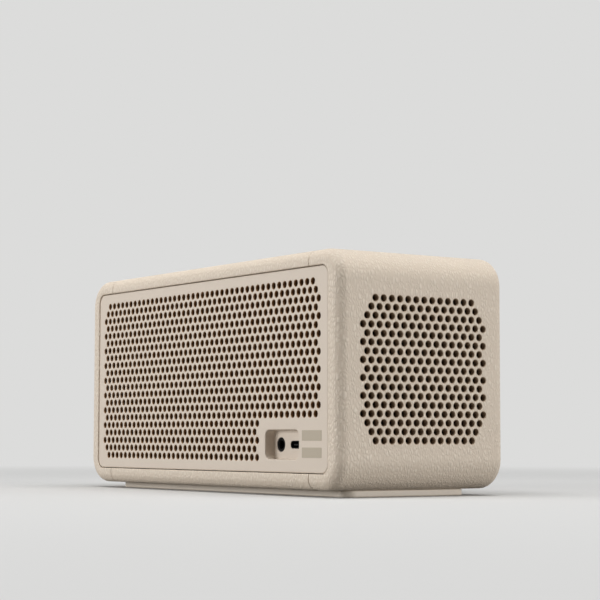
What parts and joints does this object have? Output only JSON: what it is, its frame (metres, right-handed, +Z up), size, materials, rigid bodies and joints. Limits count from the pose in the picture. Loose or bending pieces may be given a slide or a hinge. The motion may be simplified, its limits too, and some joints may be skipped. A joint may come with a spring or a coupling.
{
  "type": "portable wireless speaker",
  "caption": "Rounded box speaker with perforated front, rear and ends, two-way drivers front and rear, passive radiators in the ends, top controls and a rear port recess.",
  "frame": {"origin": "under the middle of the base plate", "axes": "+X along the width, to the right seen from the front; -Y is the front; +Z is up"},
  "size_m": [0.23, 0.093, 0.1133],
  "materials": {
    "cream_silicone": "matte pebble grain",
    "cream_plastic": "fine matte",
    "black_cloth": "woven",
    "black_plastic": "moulded",
    "foam": "closed cell foam",
    "steel": "zinc plated",
    "ferrite": "sintered",
    "paper": "pressed paper",
    "black_rubber": "matte",
    "spider_cloth": "resin dipped weave",
    "copper": "wound wire",
    "silk": "coated silk",
    "circuit_board": "solder mask",
    "cell_wrap": "shrink wrap",
    "brass": "turned and brushed",
    "light_pipe": "frosted"
  },
  "bodies": {
    "housing": {"right_end_cap": "cream_silicone", "left_end_cap": "cream_silicone", "top_cover": "cream_silicone", "bottom_cover": "cream_silicone", "base_plate": "cream_silicone", "front_grille": "cream_plastic", "rear_grille": "cream_plastic", "front_grille_cloth": "black_cloth", "rear_grille_cloth": "black_cloth", "end_cap_cloths": "black_cloth", "front_baffle": "black_plastic", "rear_baffle": "black_plastic", "cabinet": "black_plastic", "cabinet_seals": "foam", "baffle_screws": "steel", "front_woofer_frame": "steel", "front_woofer_top_plate": "steel", "front_woofer_magnet": "ferrite", "front_woofer_yoke": "steel", "front_woofer_surround": "black_rubber", "front_spider": "spider_cloth", "front_tweeter_frame": "black_plastic", "front_tweeter_dome": "silk", "front_tweeter_magnet": "steel", "rear_woofer_frame": "steel", "rear_woofer_top_plate": "steel", "rear_woofer_magnet": "ferrite", "rear_woofer_yoke": "steel", "rear_woofer_surround": "black_rubber", "rear_spider": "spider_cloth", "rear_tweeter_frame": "black_plastic", "rear_tweeter_dome": "silk", "rear_tweeter_magnet": "steel", "right_radiator_frame": "black_plastic", "right_radiator_surround": "black_rubber", "left_radiator_frame": "black_plastic", "left_radiator_surround": "black_rubber", "main_board": "circuit_board", "battery_tray": "black_plastic", "battery_cells": "cell_wrap", "aux_jack": "black_plastic", "usb_socket": "steel", "port_board": "circuit_board", "port_cover": "black_plastic", "control_board": "circuit_board", "charge_light": "light_pipe"},
    "front_cone": {"front_woofer_cone": "paper", "front_voice_coil": "copper", "front_dust_cap": "paper"},
    "rear_cone": {"rear_woofer_cone": "paper", "rear_voice_coil": "copper", "rear_dust_cap": "paper"},
    "right_radiator": {"right_radiator_plate": "black_plastic"},
    "left_radiator": {"left_radiator_plate": "black_plastic"},
    "gimbal": {"knob_gimbal": "steel"},
    "stem": {"knob_stem": "steel"},
    "knob": {"control_knob": "brass"},
    "bass_rocker": {"bass_rocker": "cream_silicone"},
    "treble_rocker": {"treble_rocker": "cream_silicone"},
    "pair_button": {"pair_button": "cream_silicone"}
  },
  "joints": [
    {"name": "front_cone_travel", "type": "slide", "parent": "housing", "child": "front_cone", "axis": [0, -1, 0], "range_m": [-0.003, 0.003], "stiffness_N_per_m": 1500, "deforming": ["front_woofer_surround", "front_spider"]},
    {"name": "rear_cone_travel", "type": "slide", "parent": "housing", "child": "rear_cone", "axis": [0, 1, 0], "range_m": [-0.003, 0.003], "stiffness_N_per_m": 1500, "deforming": ["rear_woofer_surround", "rear_spider"]},
    {"name": "right_radiator_travel", "type": "slide", "parent": "housing", "child": "right_radiator", "axis": [1, 0, 0], "range_m": [-0.004, 0.004], "stiffness_N_per_m": 900, "deforming": ["right_radiator_surround"]},
    {"name": "left_radiator_travel", "type": "slide", "parent": "housing", "child": "left_radiator", "axis": [-1, 0, 0], "range_m": [-0.004, 0.004], "stiffness_N_per_m": 900, "deforming": ["left_radiator_surround"]},
    {"name": "knob_tilt_side", "type": "hinge", "parent": "housing", "child": "gimbal", "pos_m": [0, 0, 0.1037], "axis": [0, 1, 0], "range_deg": [-3.5, 3.5], "stiffness_Nm_per_rad": 0.4},
    {"name": "knob_tilt_fore", "type": "hinge", "parent": "gimbal", "child": "stem", "pos_m": [0, 0, 0.1037], "axis": [1, 0, 0], "range_deg": [-3.5, 3.5], "stiffness_Nm_per_rad": 0.4},
    {"name": "knob_press", "type": "slide", "parent": "stem", "child": "knob", "axis": [0, 0, -1], "range_m": [0, 0.0006], "stiffness_N_per_m": 2500},
    {"name": "bass_rock", "type": "hinge", "parent": "housing", "child": "bass_rocker", "pos_m": [-0.04, 0, 0.1037], "axis": [0, 1, 0], "range_deg": [-2.5, 2.5], "stiffness_Nm_per_rad": 0.3},
    {"name": "treble_rock", "type": "hinge", "parent": "housing", "child": "treble_rocker", "pos_m": [-0.07, 0, 0.1037], "axis": [0, 1, 0], "range_deg": [-2.5, 2.5], "stiffness_Nm_per_rad": 0.3},
    {"name": "pair_press", "type": "slide", "parent": "housing", "child": "pair_button", "axis": [0, 0, -1], "range_m": [0, 0.0006], "stiffness_N_per_m": 2000}
  ]
}
